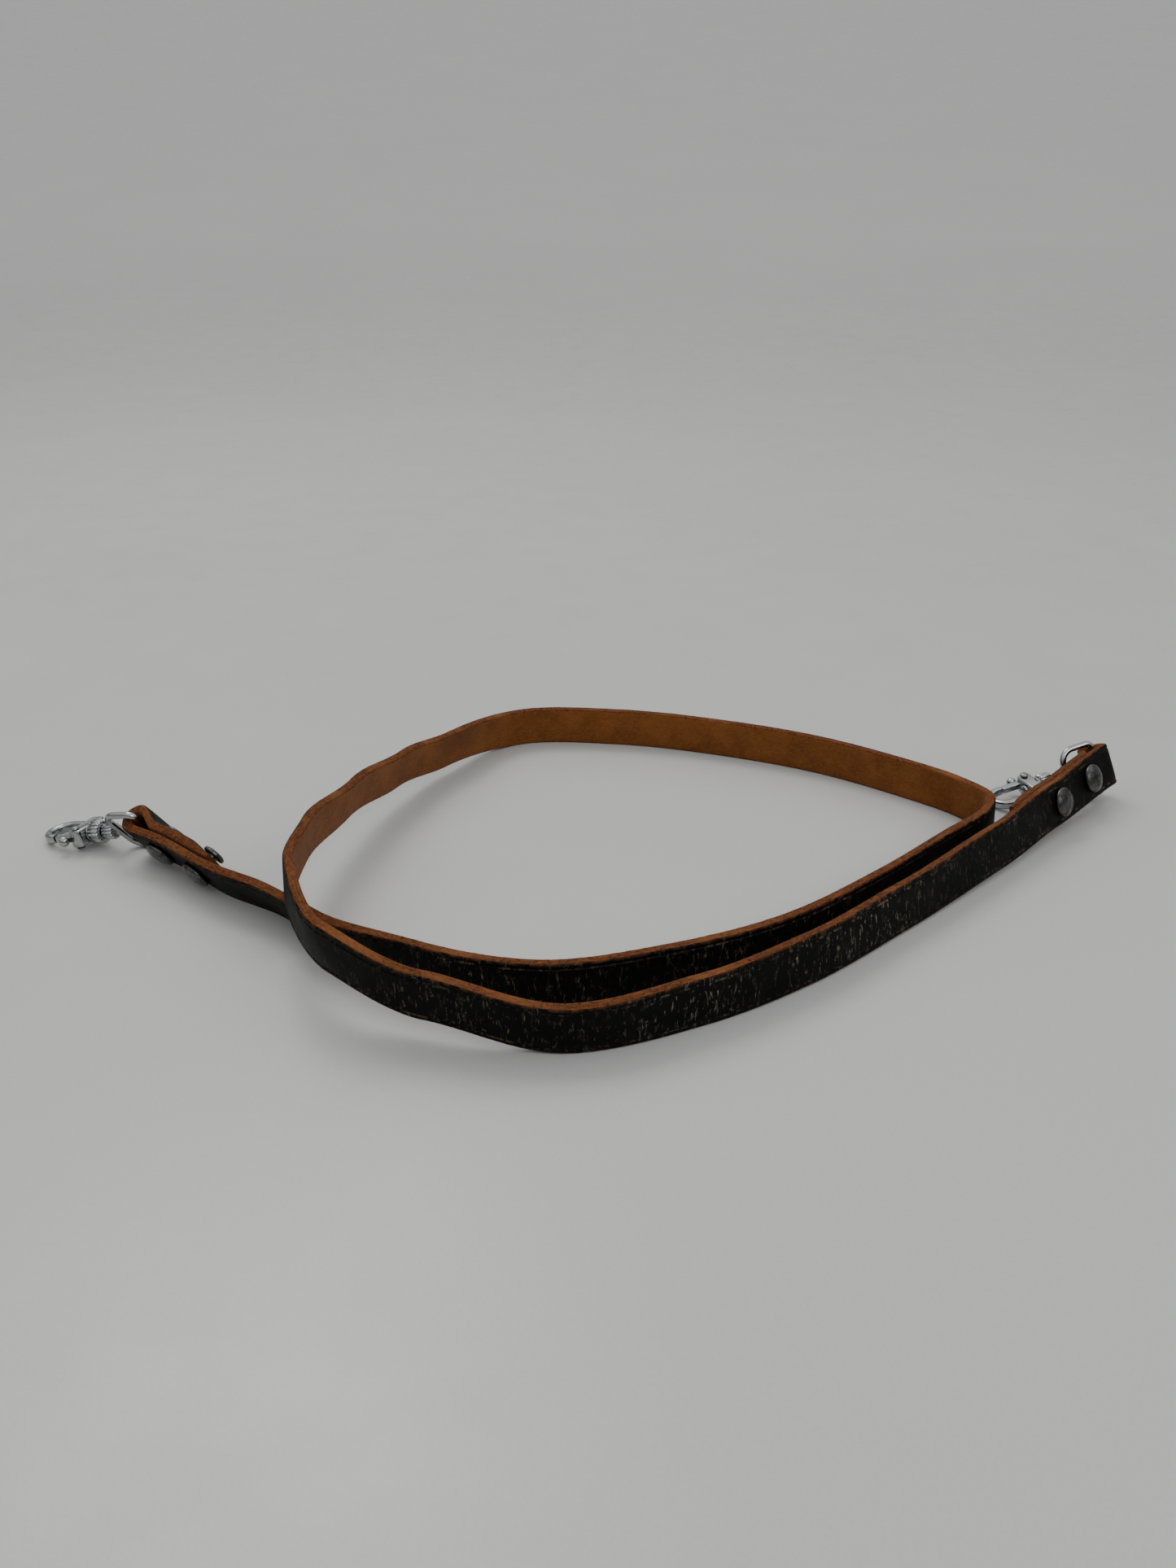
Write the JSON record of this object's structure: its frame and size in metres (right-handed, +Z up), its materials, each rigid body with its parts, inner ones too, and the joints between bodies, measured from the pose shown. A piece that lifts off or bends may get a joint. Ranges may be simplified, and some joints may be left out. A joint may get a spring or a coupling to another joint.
{
  "type": "camera neck strap",
  "caption": "Narrow black leather neck strap lying on edge in a loose loop, tan inside, with a riveted swivel snap clip at each end.",
  "frame": {"origin": "middle of the outline's footprint, on the surface that the strap's lower edge stands on", "axes": "+X from the left clip to the right fold as the picture shows them, +Y away from the viewer, +Z up"},
  "size_m": [0.2778, 0.1551, 0.0229],
  "materials": {
    "leather": "worn black grain, tan flesh side",
    "nickel": "tarnished nickel",
    "chrome": "polished",
    "dark_steel": "plain"
  },
  "bodies": {
    "strap": {"left_rivet_cap_1": "nickel", "left_rivet_back_1": "nickel", "left_rivet_cap_2": "nickel", "left_rivet_back_2": "nickel", "right_rivet_cap_1": "nickel", "right_rivet_back_1": "nickel", "right_rivet_cap_2": "nickel", "right_rivet_back_2": "nickel", "leather_strap": "leather"},
    "left_eye": {"left_eye_ring": "chrome", "left_stem_nut": "chrome"},
    "left_hook": {"left_swivel_collar": "chrome", "left_hook_body": "chrome", "left_gate_pin": "dark_steel", "left_gate_spring": "dark_steel"},
    "left_gate": {"left_gate_lever": "chrome"},
    "right_eye": {"right_eye_ring": "chrome", "right_stem_nut": "chrome"},
    "right_hook": {"right_swivel_collar": "chrome", "right_hook_body": "chrome", "right_gate_pin": "dark_steel", "right_gate_spring": "dark_steel"},
    "right_gate": {"right_gate_lever": "chrome"}
  },
  "joints": [
    {"name": "left_eye_swing", "type": "hinge", "parent": "strap", "child": "left_eye", "pos_m": [-0.1092, 0.00195, 0.00746], "axis": [-0.3415, -0.4784, 0.809], "range_deg": [-120, 90]},
    {"name": "left_hook_swivel", "type": "hinge", "parent": "left_eye", "child": "left_hook", "pos_m": [-0.1249, 0.00757, 0.00416], "axis": [-0.9235, 0.3306, -0.1944], "continuous": true},
    {"name": "left_gate_hinge", "type": "hinge", "parent": "left_hook", "child": "left_gate", "pos_m": [-0.12824, 0.00494, 0.00371], "axis": [0.183, -0.0655, -0.9809], "range_deg": [0, 25], "stiffness_Nm_per_rad": 0.004, "springref_deg": -8.59, "deforming": ["left_gate_spring"]},
    {"name": "right_eye_swing", "type": "hinge", "parent": "strap", "child": "right_eye", "pos_m": [0.13352, 0.03755, 0.00856], "axis": [-0.2981, 0.3215, 0.8988], "range_deg": [-235, 0]},
    {"name": "right_hook_swivel", "type": "hinge", "parent": "right_eye", "child": "right_hook", "pos_m": [0.11746, 0.03355, 0.00467], "axis": [-0.9446, -0.2351, -0.2291], "continuous": true},
    {"name": "right_gate_hinge", "type": "hinge", "parent": "right_hook", "child": "right_gate", "pos_m": [0.11442, 0.0365, 0.00414], "axis": [-0.2224, -0.0553, 0.9734], "range_deg": [0, 25], "stiffness_Nm_per_rad": 0.004, "springref_deg": -8.59, "deforming": ["right_gate_spring"]}
  ]
}
